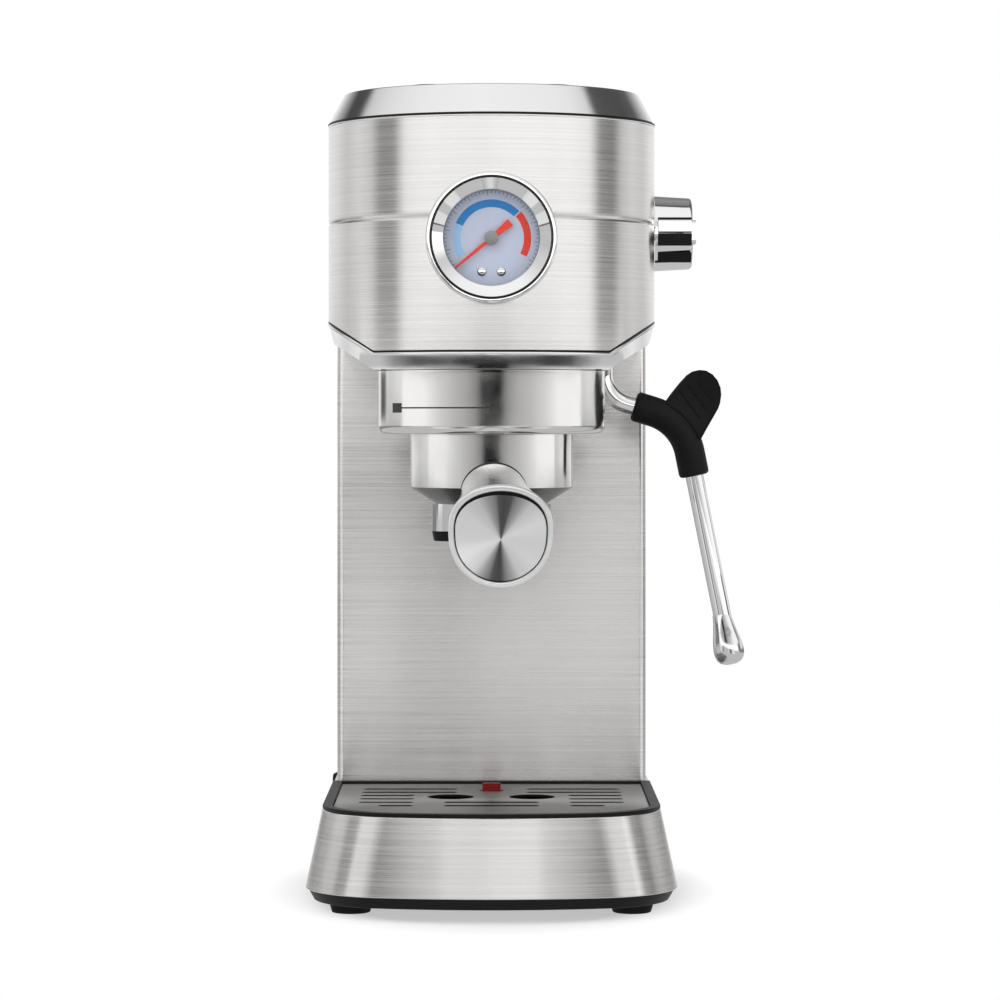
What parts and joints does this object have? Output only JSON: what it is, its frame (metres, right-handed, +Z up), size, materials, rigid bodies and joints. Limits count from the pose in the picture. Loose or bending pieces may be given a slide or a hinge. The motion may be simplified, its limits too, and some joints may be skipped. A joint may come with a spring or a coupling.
{
  "type": "espresso machine",
  "caption": "Compact pump espresso machine with half-round steel head, pressure gauge, bayonet filter holder, swivelling steam wand, drip tray and rear water tank.",
  "frame": {"origin": "on the counter, at the middle of the machine's footprint with the handle and wand", "axes": "+Z up, front faces -Y, +X to the right seen from the front"},
  "size_m": [0.1765, 0.383, 0.3245],
  "materials": {
    "brushed_steel_sheet": "brushed horizontally",
    "polished_chrome": "polished",
    "satin_steel": "turned and satin polished",
    "black_plastic": "fine moulded texture",
    "button_metal": "satin",
    "red_plastic": "semi-gloss",
    "black_rubber": "matt",
    "clear_glass": "clear",
    "smoked_tank": "clear smoked moulding",
    "dial_enamel": "printed",
    "needle_paint": "matt",
    "cast_aluminium": "cast",
    "brass_fittings": "turned",
    "copper_pipe": "drawn",
    "circuit_board": "lacquered"
  },
  "bodies": {
    "machine": {"base_plate": "black_plastic", "rubber_feet": "black_rubber", "base_skirt": "brushed_steel_sheet", "tank_dock": "black_plastic", "cord_gland": "black_plastic", "column_panel": "brushed_steel_sheet", "back_panel": "black_plastic", "head_shell": "brushed_steel_sheet", "head_collar": "polished_chrome", "top_cover": "polished_chrome", "cup_warmer_plate": "brushed_steel_sheet", "group_ring": "satin_steel", "brew_group": "cast_aluminium", "group_gasket": "black_rubber", "shower_screen": "satin_steel", "screen_screw": "satin_steel", "thermoblock": "cast_aluminium", "gauge_trim": "polished_chrome", "gauge_case": "black_plastic", "gauge_dial": "dial_enamel", "gauge_lens": "clear_glass", "gauge_movement": "brass_fittings", "gauge_pipe": "copper_pipe", "steam_valve": "brass_fittings", "steam_pipe": "copper_pipe", "wand_socket": "polished_chrome", "button_board": "circuit_board", "pump_mount": "black_rubber", "pump": "cast_aluminium", "feed_hose": "black_rubber", "pressure_pipe": "copper_pipe", "control_board": "circuit_board"},
    "portafilter": {"portafilter_body": "polished_chrome", "portafilter_handle": "polished_chrome", "handle_cap": "polished_chrome", "filter_basket": "satin_steel", "twin_spout": "polished_chrome", "spout_tips": "black_plastic"},
    "knob": {"steam_knob": "polished_chrome", "knob_shaft": "satin_steel"},
    "wand": {"wand_tube": "polished_chrome", "wand_grip": "black_plastic", "wand_tip": "polished_chrome"},
    "needle": {"gauge_needle": "needle_paint"},
    "single_button": {"button_single": "button_metal"},
    "double_button": {"button_double": "button_metal"},
    "steam_button": {"button_steam": "button_metal"},
    "tray": {"drip_tray": "black_plastic"},
    "grate": {"drip_grate": "brushed_steel_sheet"},
    "float": {"tray_float": "red_plastic"},
    "tank": {"water_tank": "smoked_tank", "tank_valve": "black_plastic", "lid_pin": "polished_chrome"},
    "lid": {"tank_lid": "smoked_tank"}
  },
  "joints": [
    {"name": "portafilter_turn", "type": "hinge", "parent": "machine", "child": "portafilter", "pos_m": [-0.0153, -0.0355, 0.18], "axis": [0, 0, 1], "range_deg": [-55, 0]},
    {"name": "steam_knob_turn", "type": "hinge", "parent": "machine", "child": "knob", "pos_m": [0.0512, -0.0095, 0.269], "axis": [1, 0, 0], "range_deg": [0, 110]},
    {"name": "wand_swivel", "type": "hinge", "parent": "machine", "child": "wand", "pos_m": [0.0307, -0.0095, 0.215], "axis": [0, 0, 1], "range_deg": [-50, 30]},
    {"name": "needle_turn", "type": "hinge", "parent": "machine", "child": "needle", "pos_m": [-0.0153, -0.1055, 0.263], "axis": [0, 1, 0], "range_deg": [0, 260]},
    {"name": "single_press", "type": "slide", "parent": "machine", "child": "single_button", "axis": [0, 0, -1], "range_m": [0, 0.0015], "stiffness_N_per_m": 600},
    {"name": "double_press", "type": "slide", "parent": "machine", "child": "double_button", "axis": [0, 0, -1], "range_m": [0, 0.0015], "stiffness_N_per_m": 600},
    {"name": "steam_press", "type": "slide", "parent": "machine", "child": "steam_button", "axis": [0, 0, -1], "range_m": [0, 0.0015], "stiffness_N_per_m": 600},
    {"name": "tray_lift", "type": "slide", "parent": "machine", "child": "tray", "axis": [0, 0, 1], "range_m": [0, 0.045]},
    {"name": "grate_lift", "type": "slide", "parent": "tray", "child": "grate", "axis": [0, 0, 1], "range_m": [0, 0.04]},
    {"name": "float_rise", "type": "slide", "parent": "tray", "child": "float", "axis": [0, 0, 1], "range_m": [0, 0.006]},
    {"name": "tank_lift", "type": "slide", "parent": "machine", "child": "tank", "axis": [0, 0, 1], "range_m": [0, 0.2]},
    {"name": "lid_hinge", "type": "hinge", "parent": "tank", "child": "lid", "pos_m": [-0.0153, 0.185, 0.3048], "axis": [-1, 0, 0], "range_deg": [0, 100]}
  ]
}
